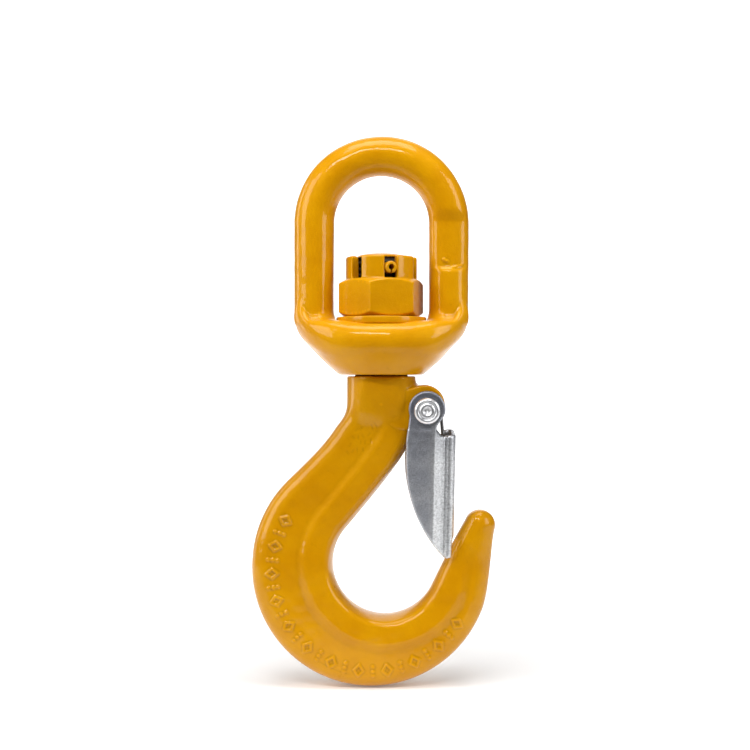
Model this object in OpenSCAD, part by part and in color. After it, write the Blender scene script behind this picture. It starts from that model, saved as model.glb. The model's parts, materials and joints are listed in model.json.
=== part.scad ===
// Swivel hook: a forged bail carries a forged hook on a nutted shank, with a sprung gate latch.
// +Z up, +X towards the hook's tip, +Y to the back. The origin is on the swivel axis, at the
// lowest point of the bail's arch, where a load line seats. Millimetres and degrees.

/* [Bail] */
// Diameter of the round bar of the bail
bail_bar_d = 16.5; // [12:0.5:20]
// Clear width between the bail's legs
bail_inner_w = 40; // [39.5:0.5:60]
// Clear height from the arch down to the boss
bail_inner_h = 61.2; // [56:0.2:90]
// Height of the boss
boss_h = 22.3; // [18:0.1:30]
// Diameter of the boss at its lower face
boss_base_d = 35.5; // [30:0.5:40]
// Diameter of the boss at its rim, front to back
boss_rim_d = 48; // [44:0.5:56]
// Fillet between a leg and the top of the boss
leg_fillet_r = 3.5; // [1:0.5:6]

/* [Swivel] */
// Diameter of the hook's shank, with its screw thread at the upper end
shank_d = 22; // [18:0.5:24]
// Radial running clearance of the shank in the boss
shank_clear = 0.08; // [0.02:0.01:0.1]
// Outside diameter of the thrust washer
washer_d = 37.8; // [34:0.2:38.4]
// Thickness of the thrust washer
washer_t = 3; // [2:0.1:5]
// Depth of the machined seat that the washer lies in
seat_depth = 1.2; // [0.4:0.1:3]
// Radial clearance round the washer in its seat
seat_clear = 0.4; // [0.2:0.1:1]
// Running gap between the washer and the nut
nut_gap = 0.1; // [0.05:0.05:0.5]
// Gap between the boss and the hook's collar
collar_gap = 0.6; // [0.4:0.1:3]

/* [Castle nut] */
// Width across the nut's flats
nut_af = 32; // [30:0.5:34]
// Height of the nut's hexagon
nut_hex_h = 15.6; // [12:0.1:20]
// Height of the crown above the hexagon
nut_crown_h = 9.5; // [8:0.1:12]
// Diameter of the crown
nut_crown_d = 30; // [27:0.5:30]
// Width of a slot in the crown
nut_slot_w = 5.2; // [4.5:0.1:6]
// Chamfer of the hexagon's corners, top and bottom
nut_chamfer = 2.2; // [1:0.1:3]
// How far the shank's end stands above the crown
shank_proud = 1.7; // [0.5:0.1:4]
// Height that the shank's domed end rises
shank_dome = 1.4; // [0.5:0.1:3]

/* [Roll pin] */
// Outside diameter of the slotted roll pin
roll_d = 5; // [3:0.1:5.4]
// Diameter of the hole along the roll pin
roll_bore_d = 2.3; // [1:0.1:2.6]
// Width of the slit along the roll pin
roll_slit_w = 0.8; // [0.3:0.1:1.2]
// Length of the roll pin
roll_l = 31.4; // [28:0.2:34]
// Height of the roll pin's axis above the hexagon
roll_rise = 4.4; // [3:0.1:6]
// Direction of the roll pin about the swivel axis
roll_turn = -74.6; // [-180:0.1:180]

/* [Hook] */
// Diameter of the hook's round neck
neck_d = 28.8; // [26:0.2:32]
// Length of the round neck
neck_l = 8.8; // [6:0.2:12]
// Diameter of the hook's bowl
bowl_d = 43.6; // [36:0.2:50]
// How far the bowl's centre lies from the swivel axis, towards the tip
bowl_shift = 1.5; // [-4:0.1:6]
// Depth from the collar's upper face to the bowl's centre
bowl_drop = 77.9; // [68:0.1:100]
// Width of the hook's back, beside the bowl
back_w = 34; // [26:0.2:42]
// Depth of the hook under the bowl
sole_w = 29.7; // [22:0.1:36]
// Overall diameter of the hook's outer arc
sweep_d = 100; // [90:0.5:112]
// Distance from the bowl's centre to the centre of the round tip, across
tip_reach = 39.8; // [36:0.2:46]
// Height of the centre of the round tip above the bowl's centre
tip_rise = 15.5; // [10:0.5:20]
// Width of the hook at its round tip
tip_w = 13; // [9:0.5:16]
// Lean of the tip above the horizontal
tip_lean = 70; // [60:1:80]
// Thickness of the band along the hook's inner edge, at the bowl
band_t = 23; // [18:0.5:26]
// Thickness of the band along the hook's inner edge, at the neck
neck_band_t = 20.4; // [16:0.2:20.8]
// Thickness of the hook just before its tip
tip_t = 13.6; // [10:0.2:14.6]
// Width of the band along the inner edge, up to the forged step
band_w = 13; // [9:0.5:16]
// Depth of the forged step down to the outer part
step_h = 1.4; // [0.4:0.1:2.5]
// Depth over which the inner edge is rounded
inner_round = 6; // [3:0.5:8]
// Depth over which the outer edge is rounded
outer_round = 8.5; // [4:0.5:10]

/* [Latch] */
// Distance of the latch's pivot from the swivel axis
pivot_x = 18.8; // [18:0.1:24]
// Depth of the latch's pivot below the collar's upper face
pivot_drop = 14.3; // [13:0.1:18]
// Radius of the hook's lug
lug_r = 8.4; // [8:0.1:10]
// Thickness of the hook's lug
lug_t = 20.8; // [18:0.1:20.8]
// Width of the slot in the lug that holds the spring
lug_slot_w = 9.8; // [8.6:0.1:11]
// Thickness of the latch's sheet
sheet_t = 1.5; // [1:0.1:2]
// Clearance between the latch's ears and the lug, each side
ear_clear = 0.35; // [0.2:0.05:1]
// Radius of the latch's ears
ear_r = 7.7; // [7:0.1:8.2]
// How far the centre of the ears' round lies above the pivot
ear_rise = 0.7; // [0:0.1:1]
// Width of one of the latch's flat flanges, to the left of the pivot
flange_left = 8.4; // [7.8:0.1:9]
// Outside width of the latch's narrow channel
channel_w = 19; // [17.8:0.1:22]
// Gap between the latch's web and the hook's round tip
tip_gap = 3.7; // [3.4:0.1:4.4]
// How far the latch reaches below the centre of the round tip
latch_reach = 13.2; // [11:0.1:13.6]
// How far the web stops short of the latch's lower end
web_stop = 8.9; // [8.8:0.1:14]
// Lean of the closed latch
latch_lean = 1.2; // [0:0.1:2]

/* [Rivet] */
// Diameter of the latch's rivet
rivet_d = 6.4; // [5:0.1:7]
// Diameter of a rivet head
head_d = 10.8; // [9:0.1:12]
// Height of a rivet head
head_h = 2.6; // [1.5:0.1:4]
// Gap between a rivet head and an ear
head_gap = 0.2; // [0.1:0.05:0.5]

/* [Spring] */
// Wire diameter of the torsion spring
wire_d = 1.4; // [0.8:0.1:1.6]
// Mean radius of the spring's coil
coil_r = 6.3; // [5:0.1:6.4]
// Number of turns in the coil
coil_turns = 5; // [2:1:5]
// Length of the leg that bears on the hook
hook_leg_l = 11; // [6:0.5:12]
// Length of the leg that bears on the latch
latch_leg_l = 31; // [16:0.5:34]
// Gap between that leg's end and the latch's web
leg_gap = 1.1; // [0.6:0.1:1.6]

/* [Hidden] */

forged_paint = [0.90, 0.62, 0.05];
zinc = [0.66, 0.68, 0.72];
bright_steel = [0.80, 0.81, 0.83];
spring_steel = [0.45, 0.45, 0.47];

over = 1;      // how far a cutting tool runs past the face that it cuts
skin = 0.05;   // how far a faceted blank lies inside the exact form that it joins

// Bail
leg_x = (bail_inner_w + bail_bar_d) / 2;
arch_z = -bail_inner_w / 2;
boss_top = -bail_inner_h;
boss_bottom = boss_top - boss_h;
leg_foot = 0.7;          // the legs' round ends are centred this far above the boss
leg_end_z = boss_top + leg_foot;
rim_z = boss_top - bail_bar_d / 2;
rim_dip = 4;             // a higher power keeps the rim's rise closer to the legs
base_bevel = 0.6;        // bevel round the boss's lower face
shank_bore_d = shank_d + 2 * shank_clear;

// Stack on the swivel axis
seat_z = boss_top - seat_depth;
washer_play = 0.3;       // the washer's hole is this much wider than the boss's bore, all round
washer_top = seat_z + washer_t;
nut_z = washer_top + nut_gap;
crown_z = nut_z + nut_hex_h;
crown_top = crown_z + nut_crown_h;
shank_top = crown_top + shank_proud;
roll_z = crown_z + roll_rise;
nut_corner_r = nut_af / 2 / cos(30);
dome_r = (pow(shank_d / 2, 2) + pow(shank_dome, 2)) / (2 * shank_dome);
collar_z = boss_bottom - collar_gap;
neck_z = collar_z - neck_l;

// Hook: points in the XZ plane are written as [x, z]
bowl_r = bowl_d / 2;
bowl_c = [bowl_shift, collar_z - bowl_drop];
sweep_r = sweep_d / 2;
sweep_c = [bowl_c[0] - bowl_r - back_w + sweep_r, bowl_c[1] - bowl_r - sole_w + sweep_r];
tip_r = tip_w / 2;
tip_c = bowl_c + [tip_reach, tip_rise];
tip_taper = 10;          // half of the angle between the tip's two edges
bowl_from = 140;         // the bowl's arc starts here, at the throat
bowl_to = 334;           // and ends here, below the tip
back_pull = 12;          // lengths of the handles of the curves that lead
shoulder_pull = 14;      // into and out of the arcs: down the back of the neck,
throat_pull = 2;         // above the arc behind the shoulder, down the throat,
mouth_pull = 6;          // and for the tip: from the bowl,
nose_in_pull = 11.3;     // into the round tip's inner side,
belly_pull = 8.6;        // from the outer arc
nose_out_pull = 9.5;     // and into the round tip's outer side
tip_swell = 1.25;        // thickness where the tip begins, as a share of the tip's thickness
step_run = 1.2;          // width of the slope of the forged step
neck_steps = 16;
bowl_steps = 34;
tip_steps = 11;
cap_steps = 7;
edge_steps = 5;          // points round a quarter of a rounded edge
inner_power = 2.5;       // how square the rounding of the inner edge is: 2 is an ellipse
outer_power = 2.3;       // the same for the outer edge

// Latch, written from its pivot
pivot_z = collar_z - pivot_drop;
lug_c = [pivot_x - 0.9, pivot_z + 2.3];
lug_foot = 9;            // the lug's plates end this far below the pivot
slot_drop = 16;          // the spring's slot ends this far below the pivot
web_x = tip_c[0] - tip_r - tip_gap - pivot_x;
latch_l = pivot_z - tip_c[1] + latch_reach;
web_l = latch_l - web_stop;
flange_in = lug_t / 2 + ear_clear;
flange_out = flange_in + sheet_t;
channel_out = channel_w / 2;
joggle_to = web_x - 4.7; // the flanges have bent in to the channel's width here
joggle_from = joggle_to - 5.4;
channel_top = -9.6;      // the channel starts at this height
web_round = 3;           // outer corner radius of the channel
belly_z = -20.5;         // the latch's long curved edge starts at this height
belly_w = flange_left + web_x - 3.5;
belly_h = latch_l + belly_z;
belly_r = (pow(belly_w, 2) + pow(belly_h, 2)) / (2 * belly_w);
rivet_reach = flange_out + head_gap;
rivet_play = 0.06;       // radial clearance of the rivet in the ears

// Spring
coil_pitch = wire_d + 0.1;
coil_l = coil_turns * coil_pitch;
latch_leg_lean = asin((web_x - sheet_t - leg_gap - wire_d / 2 - coil_r) / latch_leg_l);
wire_sides = 8;
coil_steps = 20;

function mix(a, b, t) = a + (b - a) * t;
function smooth(t) = let (c = max(0, min(1, t))) c * c * (3 - 2 * c);
function heading(a) = [cos(a), sin(a)];
function bezier(p, q, r, s, t) =
    pow(1 - t, 3) * p + 3 * pow(1 - t, 2) * t * q + 3 * (1 - t) * t * t * r + pow(t, 3) * s;

// ---- Bail ----------------------------------------------------------------------------------

// The bar carries on round the boss as an oval rim, which dips from the legs to the front and back
module boss_blank() {
    hull() {
        for (a = [0 : 15 : 345])
            translate([leg_x * cos(a), (boss_rim_d - bail_bar_d) / 2 * sin(a),
                       mix(rim_z, leg_end_z, pow(cos(a), rim_dip))])
                sphere(d = bail_bar_d - 2 * skin, $fn = 32);
        translate([0, 0, boss_bottom])
            cylinder(d1 = boss_base_d - 2 * base_bevel, d2 = boss_base_d, h = base_bevel, $fn = 72);
    }
}

module leg_fillets() {
    for (side = [-1, 1])
        translate([side * leg_x, 0, boss_top])
            rotate_extrude($fn = 64)
                difference() {
                    translate([bail_bar_d / 2 - 1, -1])
                        square([leg_fillet_r + 1, leg_fillet_r + 1]);
                    translate([bail_bar_d / 2 + leg_fillet_r, leg_fillet_r])
                        circle(r = leg_fillet_r, $fn = 48);
                }
}

module inner_space(bottom) {
    translate([-leg_x, -boss_rim_d, bottom])
        cube([2 * leg_x, 2 * boss_rim_d, bail_inner_h]);
}

module swivel_bail() {
    color(forged_paint)
    difference() {
        union() {
            translate([0, 0, arch_z])
                rotate([90, 0, 0])
                    rotate_extrude(angle = 180, $fn = 96)
                        translate([leg_x, 0])
                            circle(d = bail_bar_d, $fn = 48);
            for (side = [-1, 1])
                translate([side * leg_x, 0, leg_end_z]) {
                    cylinder(d = bail_bar_d, h = arch_z - leg_end_z, $fn = 64);
                    sphere(d = bail_bar_d, $fn = 64);
                }
            difference() {
                boss_blank();
                inner_space(boss_top);
            }
            intersection() {
                boss_blank();
                leg_fillets();
                inner_space(boss_top - over);
            }
        }
        translate([0, 0, boss_bottom - over])
            cylinder(d = shank_bore_d, h = boss_h + 2 * over, $fn = 96);
        translate([0, 0, seat_z])
            cylinder(d = washer_d + 2 * seat_clear, h = washer_t + leg_fillet_r, $fn = 96);
    }
}

// ---- Swivel stack ----------------------------------------------------------------------------

module thrust_washer() {
    color(forged_paint)
    translate([0, 0, seat_z])
        difference() {
            cylinder(d = washer_d, h = washer_t, $fn = 96);
            translate([0, 0, -over])
                cylinder(d = shank_bore_d + 2 * washer_play, h = washer_t + 2 * over, $fn = 96);
        }
}

module castle_nut() {
    color(forged_paint)
    translate([0, 0, nut_z])
        rotate([0, 0, roll_turn])
            difference() {
                union() {
                    intersection() {
                        rotate([0, 0, 30])
                            cylinder(r = nut_corner_r, h = nut_hex_h, $fn = 6);
                        rotate_extrude($fn = 96)
                            polygon([[0, 0], [nut_corner_r - nut_chamfer, 0],
                                     [nut_corner_r, nut_chamfer / 2],
                                     [nut_corner_r, nut_hex_h - nut_chamfer / 2],
                                     [nut_corner_r - nut_chamfer, nut_hex_h], [0, nut_hex_h]]);
                    }
                    cylinder(d = nut_crown_d, h = nut_hex_h + nut_crown_h, $fn = 96);
                }
                translate([0, 0, -over])
                    cylinder(d = shank_d, h = nut_hex_h + nut_crown_h + 2 * over, $fn = 96);
                for (turn = [0 : 60 : 120])
                    rotate([0, 0, turn])
                        translate([-nut_af, -nut_slot_w / 2, nut_hex_h])
                            cube([2 * nut_af, nut_slot_w, nut_crown_h + over]);
            }
}

module roll_axis() {
    translate([0, 0, roll_z])
        rotate([0, 0, roll_turn])
            rotate([0, 90, 0])
                children();
}

module nut_roll_pin() {
    color(bright_steel)
    roll_axis()
        difference() {
            cylinder(d = roll_d, h = roll_l, center = true, $fn = 48);
            cylinder(d = roll_bore_d, h = roll_l + 2 * over, center = true, $fn = 32);
            translate([0, -roll_slit_w / 2, -roll_l / 2 - over])
                cube([roll_d, roll_slit_w, roll_l + 2 * over]);
        }
}

// ---- Hook ------------------------------------------------------------------------------------

// The point where a ray from the bowl's centre meets the hook's outer arc
function sweep_hit(a) =
    let (d = heading(a), w = bowl_c - sweep_c, along = w * d)
    bowl_c + d * (sqrt(along * along - w * w + sweep_r * sweep_r) - along);

// A station of the hook: [inner point, outer point, half of the band's thickness,
// share of the forged step, share of the round neck, share of the tip's rounding]
function neck_station(t) =
    let (in_end = bowl_c + bowl_r * heading(bowl_from),
         out_end = sweep_hit(bowl_from),
         in_corner = in_end + heading(bowl_from - 90) * (neck_d / 2 - in_end[0])
                     / cos(bowl_from - 90),
         out_dir = let (d = out_end - sweep_c) [d[1], -d[0]] / sweep_r)
    [bezier([neck_d / 2 - skin, neck_z + over], in_corner + [0, throat_pull], in_corner,
            in_end, t),
     bezier([skin - neck_d / 2, neck_z + over], [-neck_d / 2, neck_z - back_pull],
            out_end + shoulder_pull * out_dir, out_end, t),
     neck_band_t / 2, smooth(t * 4 - 0.6), 1 - smooth(t * 4.5), 0];

function bowl_station(t) =
    let (a = mix(bowl_from, bowl_to, t),
         thick = mix(neck_band_t, band_t, smooth(t / 0.3)))
    [bowl_c + bowl_r * heading(a), sweep_hit(a),
     mix(thick, tip_t * tip_swell, smooth((t - 0.62) / 0.38)) / 2, 1, 0, 0];

function tip_station(t) =
    let (in_start = bowl_c + bowl_r * heading(bowl_to),
         out_start = sweep_hit(bowl_to),
         out_dir = let (d = out_start - sweep_c) [-d[1], d[0]] / sweep_r,
         in_end = tip_c + tip_r * heading(tip_lean + 90),
         out_end = tip_c + tip_r * heading(tip_lean - 90))
    [bezier(in_start, in_start + mouth_pull * heading(bowl_to + 90),
            in_end - nose_in_pull * heading(tip_lean - tip_taper), in_end, t),
     bezier(out_start, out_start + belly_pull * out_dir,
            out_end - nose_out_pull * heading(tip_lean + tip_taper), out_end, t),
     mix(tip_t * tip_swell, tip_t, smooth(t * 1.6)) / 2, 1 - smooth(t * 1.1), 0, 0];

function cap_station(t) =
    let (a = 90 * t)
    [tip_c + tip_r * (cos(a) * heading(tip_lean + 90) + sin(a) * heading(tip_lean)),
     tip_c + tip_r * (cos(a) * heading(tip_lean - 90) + sin(a) * heading(tip_lean)),
     tip_t / 2 * cos(a), 0, 0, 1];

// Half of the outline across the hook, from the inner edge to the outer edge, as [depth, y]
function edge_quarter(depth, half, power) =
    [for (i = [0 : edge_steps - 1])
        let (a = 90 * i / (edge_steps - 1))
        [depth * (1 - pow(cos(a), 2 / power)), half * pow(sin(a), 2 / power)]];

function forged_half(wide, half, step) =
    let (in_r = min(inner_round, wide * 0.4),
         out_r = min(outer_round, wide * 0.45),
         low = half - step_h * step,
         ridge = max(in_r + 0.2, min(band_w, wide - out_r - 2)),
         inner = edge_quarter(in_r, half, inner_power),
         outer = edge_quarter(out_r, low, outer_power))
    concat(inner, [[ridge, half], [ridge + step_run, low]],
           [for (i = [edge_steps - 1 : -1 : 0]) [wide - outer[i][0], outer[i][1]]]);

half_points = 2 * edge_steps + 2;

function round_half(wide) =
    [for (i = [0 : half_points - 1])
        let (a = 180 * i / (half_points - 1))
        wide / 2 * [1 - cos(a), sin(a)]];

function section_half(s) =
    let (wide = norm(s[1] - s[0]),
         forged = forged_half(wide, s[2], s[3]),
         ring = round_half(wide),
         eye = [for (p = ring) [p[0], p[1] / (wide / 2) * s[2]]])
    [for (i = [0 : half_points - 1])
        mix(forged[i], mix(eye[i], ring[i], s[4] > 0 ? 1 : 0), max(s[4], s[5] * 0.5))];

function section_loop(s) =
    let (half = section_half(s), dir = (s[1] - s[0]) / norm(s[1] - s[0]))
    concat([for (p = half) [s[0][0] + dir[0] * p[0], -p[1], s[0][1] + dir[1] * p[0]]],
           [for (i = [half_points - 2 : -1 : 1])
               let (p = half[i])
               [s[0][0] + dir[0] * p[0], p[1], s[0][1] + dir[1] * p[0]]]);

stations = concat(
    [for (i = [0 : neck_steps - 1]) neck_station(i / neck_steps)],
    [for (i = [0 : bowl_steps - 1]) bowl_station(i / bowl_steps)],
    [for (i = [0 : tip_steps - 1]) tip_station(i / tip_steps)],
    [for (i = [0 : cap_steps]) cap_station(0.985 * sin(90 * i / cap_steps))]);

// A closed skin over a row of loops with the same number of points
module loft(loops) {
    n = len(loops[0]);
    m = len(loops);
    polyhedron(
        points = [for (l = loops) for (p = l) p],
        faces = concat(
            [[for (i = [0 : n - 1]) i]],
            [for (k = [0 : m - 2]) for (i = [0 : n - 1])
                [k * n + i, (k + 1) * n + i, (k + 1) * n + (i + 1) % n]],
            [for (k = [0 : m - 2]) for (i = [0 : n - 1])
                [k * n + i, (k + 1) * n + (i + 1) % n, k * n + (i + 1) % n]],
            [[for (i = [n - 1 : -1 : 0]) (m - 1) * n + i]]));
}

module at_pivot() {
    translate([pivot_x, 0, pivot_z])
        children();
}

module plate(thick) {
    rotate([90, 0, 0])
        linear_extrude(thick, center = true)
            children();
}

module lug() {
    neck_r = neck_d / 2;
    plate(lug_t) {
        translate(lug_c)
            circle(r = lug_r, $fn = 64);
        polygon([[neck_r / 3, lug_c[1] + lug_r * sin(65)], lug_c + lug_r * heading(105),
                 lug_c + lug_r * heading(-95), [neck_r - 2, pivot_z - lug_foot],
                 [neck_r / 3, pivot_z - lug_foot]]);
    }
}

module hook_body() {
    color(forged_paint)
    difference() {
        union() {
            intersection() {
                translate([0, 0, neck_z])
                    cylinder(d = shank_d, h = shank_top - neck_z, $fn = 96);
                translate([0, 0, shank_top - dome_r])
                    sphere(r = dome_r, $fn = 200);
            }
            translate([0, 0, neck_z])
                cylinder(d = neck_d, h = neck_l, $fn = 96);
            loft([for (s = stations) section_loop(s)]);
            lug();
        }
        roll_axis()
            cylinder(d = roll_d, h = 2 * shank_d, center = true, $fn = 48);
        at_pivot() {
            rotate([90, 0, 0])
                cylinder(d = rivet_d, h = 2 * lug_t, center = true, $fn = 48);
            plate(lug_slot_w) {
                circle(r = coil_r + wire_d, $fn = 64);
                translate([-coil_r - wire_d, -slot_drop])
                    square([3 * coil_r, slot_drop]);
            }
            for (side = [-1, 1])
                translate([0, side * lug_t, 0])
                    plate(lug_t)
                        circle(r = pivot_x, $fn = 96);
        }
    }
}

// ---- Latch -----------------------------------------------------------------------------------

// Side outline of the latch in its own XZ plane, pivot at the origin
module ear_outline() {
    translate([0, ear_rise])
        circle(r = ear_r, $fn = 64);
    polygon([[-ear_r, ear_rise], [ear_r * 0.55, 0], [ear_r * 0.55, channel_top],
             [joggle_from, channel_top - 2], [-flange_left, channel_top - 4]]);
}

module blade_outline() {
    polygon([[-flange_left, channel_top - 3], [-ear_r - 0.4, -ear_r], [ear_r * 0.6, -ear_r],
             [6.4, channel_top - 1], [web_x + 1, channel_top], [web_x + 1, belly_z],
             [-flange_left, belly_z]]);
    intersection() {
        polygon([[-flange_left, belly_z + skin], [web_x + 1, belly_z + skin],
                 [web_x + 1, 7 - latch_l], [web_x - 0.7, 0.4 - latch_l], [0, -latch_l]]);
        translate([belly_r - flange_left, belly_z])
            circle(r = belly_r, $fn = 200);
    }
}

// Half of the pressed section, as [x, y] points of its outer or inner face
function channel_half(inset) =
    let (r = max(0.6, web_round - inset), c = [web_x - inset - r, channel_out - inset - r])
    concat([[-flange_left - over, flange_out - inset], [joggle_from, flange_out - inset],
            [joggle_to, channel_out - inset]],
           [for (a = [90 : -15 : 0]) c + r * heading(a)]);

function mirrored(points) = [for (i = [len(points) - 1 : -1 : 0]) [points[i][0], -points[i][1]]];

module pressed_section() {
    outer = channel_half(0);
    inner = channel_half(sheet_t);
    difference() {
        polygon(concat(outer, mirrored(outer)));
        polygon(concat([inner[0] - [over, 0]], inner, mirrored(inner),
                       mirrored([inner[0] - [over, 0]])));
    }
}

module latch() {
    color(zinc)
    at_pivot()
        rotate([0, latch_lean, 0])
            difference() {
                union() {
                    intersection() {
                        translate([0, 0, -latch_l - over])
                            linear_extrude(latch_l + over)
                                pressed_section();
                        plate(3 * flange_out)
                            blade_outline();
                    }
                    for (side = [-1, 1])
                        translate([0, side * (flange_in + sheet_t / 2), 0])
                            plate(sheet_t)
                                ear_outline();
                }
                rotate([90, 0, 0])
                    cylinder(d = rivet_d + 2 * rivet_play, h = 4 * flange_out, center = true,
                             $fn = 48);
                translate([joggle_to, sheet_t - channel_out, -latch_l - over])
                    cube([web_x, channel_w - 2 * sheet_t, latch_l - web_l + over]);
            }
}

// Half of the rivet's outline, from its middle out to the dimple in one head, as [radius, height]
function rivet_half() =
    [[rivet_d / 2, 0], [rivet_d / 2, rivet_reach], [head_d / 2, rivet_reach],
     [head_d / 2, rivet_reach + 0.3 * head_h], [0.44 * head_d, rivet_reach + 0.72 * head_h],
     [0.33 * head_d, rivet_reach + head_h], [0.15 * head_d, rivet_reach + 0.85 * head_h],
     [0, rivet_reach + 0.72 * head_h]];

module latch_rivet() {
    color(bright_steel)
    at_pivot()
        rotate([90, 0, 0])
            for (turn = [0, 180])
                rotate([turn, 0, 0])
                    rotate_extrude($fn = 64)
                        polygon(concat([[0, -over]], [[rivet_d / 2, -over]], rivet_half()));
}

// ---- Spring ----------------------------------------------------------------------------------

// Centre line of the wire, from the pivot: down the hook leg, round the coil, down the latch leg
function coil_point(a) = [-coil_r * cos(a), -coil_l / 2 + coil_pitch * a / 360, coil_r * sin(a)];

coil_sweep = 360 * coil_turns - 180 + latch_leg_lean;
leg_start = coil_point(coil_sweep);
leg_dir = [sin(latch_leg_lean), 0, -cos(latch_leg_lean)];

spring_path = concat(
    [[-coil_r, -coil_l / 2, -hook_leg_l], [-coil_r, -coil_l / 2, -hook_leg_l / 2]],
    [for (a = [0 : 360 / coil_steps : coil_sweep]) coil_point(a)],
    [leg_start],
    [leg_start + leg_dir * latch_leg_l / 2],
    [leg_start + leg_dir * latch_leg_l]);

function unit(v) = v / norm(v);

// A ring of the wire, square to the path at point i, with the pivot's axis as its first direction
function wire_ring(path, i) =
    let (before = path[max(0, i - 1)], after = path[min(len(path) - 1, i + 1)],
         dir = unit(after - before), across = unit(cross(dir, [0, 1, 0])),
         up = cross(dir, across))
    [for (k = [0 : wire_sides - 1])
        path[i] + wire_d / 2 * (across * cos(360 * k / wire_sides) + up * sin(360 * k / wire_sides))];

module latch_spring() {
    color(spring_steel)
    at_pivot()
        loft([for (i = [0 : len(spring_path) - 1]) wire_ring(spring_path, i)]);
}

// ----------------------------------------------------------------------------------------------

swivel_bail();
thrust_washer();
hook_body();
castle_nut();
nut_roll_pin();
latch();
latch_rivet();
latch_spring();
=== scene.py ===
"""Looks of the swivel hook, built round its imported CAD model.

Lengths in the shape functions are millimetres in the frame's own axes: +Z up the swivel axis,
+X towards the hook's tip, +Y to the back. They become metres when a mesh is made. The floor, the
lights and the camera are placed in metres.
"""
import json
import math

import bpy
import numpy as np
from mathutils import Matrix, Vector


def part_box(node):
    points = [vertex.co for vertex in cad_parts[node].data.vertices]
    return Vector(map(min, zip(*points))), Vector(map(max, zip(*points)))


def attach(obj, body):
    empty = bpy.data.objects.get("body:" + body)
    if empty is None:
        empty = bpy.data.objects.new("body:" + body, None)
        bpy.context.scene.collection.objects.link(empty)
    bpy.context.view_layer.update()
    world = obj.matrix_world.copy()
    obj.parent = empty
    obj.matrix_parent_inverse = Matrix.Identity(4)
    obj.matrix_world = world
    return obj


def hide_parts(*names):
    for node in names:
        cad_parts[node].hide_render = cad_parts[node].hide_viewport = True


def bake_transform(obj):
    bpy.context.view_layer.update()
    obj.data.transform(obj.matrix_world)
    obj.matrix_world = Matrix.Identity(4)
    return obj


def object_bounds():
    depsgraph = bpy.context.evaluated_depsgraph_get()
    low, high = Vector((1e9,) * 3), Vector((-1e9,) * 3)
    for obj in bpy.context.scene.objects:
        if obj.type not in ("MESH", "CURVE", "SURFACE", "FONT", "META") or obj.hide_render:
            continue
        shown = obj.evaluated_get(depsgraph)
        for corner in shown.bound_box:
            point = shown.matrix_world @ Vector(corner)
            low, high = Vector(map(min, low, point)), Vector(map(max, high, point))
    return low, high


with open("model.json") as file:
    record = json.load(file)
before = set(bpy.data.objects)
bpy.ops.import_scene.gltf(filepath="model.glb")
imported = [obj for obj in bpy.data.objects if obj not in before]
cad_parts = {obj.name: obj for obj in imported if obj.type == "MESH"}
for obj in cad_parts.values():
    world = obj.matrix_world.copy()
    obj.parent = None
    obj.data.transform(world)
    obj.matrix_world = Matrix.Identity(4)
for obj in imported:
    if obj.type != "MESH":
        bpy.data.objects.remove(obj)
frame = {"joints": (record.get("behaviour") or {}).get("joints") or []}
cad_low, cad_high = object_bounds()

MM = 0.001


def node_box(name):
    """Lowest and highest corner of a CAD node, in millimetres."""
    low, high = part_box(name)
    return np.array(low) / MM, np.array(high) / MM


# ---- Sizes: from the frame, and those of the hook's own that the frame doesn't give --------------

bail_low, bail_high = node_box("swivel_bail")
washer_low, washer_high = node_box("thrust_washer")
hook_low, hook_high = node_box("hook_body")
nut_low, nut_high = node_box("castle_nut")
roll_low, roll_high = node_box("nut_roll_pin")
latch_low, latch_high = node_box("latch")
rivet_low, rivet_high = node_box("latch_rivet")
pivot = next(np.array(j["pos_m"]) / MM for j in frame["joints"] if j["name"] == "latch_pivot")

BAR_R = bail_high[2] / 2                # the bail's bar; its arch's inside touches z = 0
LEG_X = bail_high[0] - BAR_R            # middle of a leg
ARCH_Z = -(LEG_X - BAR_R)               # centre of the arch
BOSS_BOTTOM = bail_low[2]
BOSS_TOP = BOSS_BOTTOM + 22.3
RIM_Y = bail_high[1] - BAR_R            # middle of the boss's rim at the front and back
BOSS_BASE_R = 17.75
SHANK_R = 11.0
BORE_R = SHANK_R + 0.08
SEAT_Z = washer_low[2]                  # floor of the shallow seat that the washer lies in
SEAT_R = washer_high[0] + 0.4

COLLAR_Z = BOSS_BOTTOM - 0.6            # top of the hook's round neck
NECK_R = 14.4
NECK_Z = COLLAR_Z - 8.8                 # where the round neck starts to turn into the forged band
BOWL_R = 21.8                           # inside of the bowl
BOWL_C = np.array([1.5, COLLAR_Z - 77.9])
SWEEP_R = 50.0                          # outside of the back and bowl
SWEEP_C = np.array([hook_low[0] + SWEEP_R, hook_low[2] + SWEEP_R])
TIP_R = 6.5
TIP_C = BOWL_C + np.array([39.8, 15.5])
TIP_LEAN = 70                           # degrees up from +X
TIP_TAPER = 10                          # degrees that each side of the tip leans in
BOWL_FROM = 140                         # the bowl's round part, in degrees about its centre
BOWL_TO = 334
BAND_HALF = 11.5                        # half thickness of the band, the neck and the tip
NECK_HALF = 10.0
TIP_HALF = 6.8
BAND_W = 13.0                           # width of the thick inner band
STEP = 1.3                              # drop from it to the outer band

LUG_HALF = 10.4
LUG_C = pivot[[0, 2]] + np.array([-0.9, 2.3])
LUG_R = 8.4
LUG_SLOT_HALF = 4.9
LATCH_LEAN = math.radians(1.2)
SHEET = 1.5
FLANGE_MID = latch_high[1] - SHEET / 2  # middle of a flange's sheet, from the middle plane
EAR_R = 7.7
EAR_RISE = 0.7                          # the ears' centre above the pivot
COIL_R = 6.3
WIRE_R = 0.7
HEAD_R = (rivet_high[0] - rivet_low[0]) / 2


# ---- Numbers and curves ------------------------------------------------------------------------

def mix(a, b, t):
    return a + (b - a) * t


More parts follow.
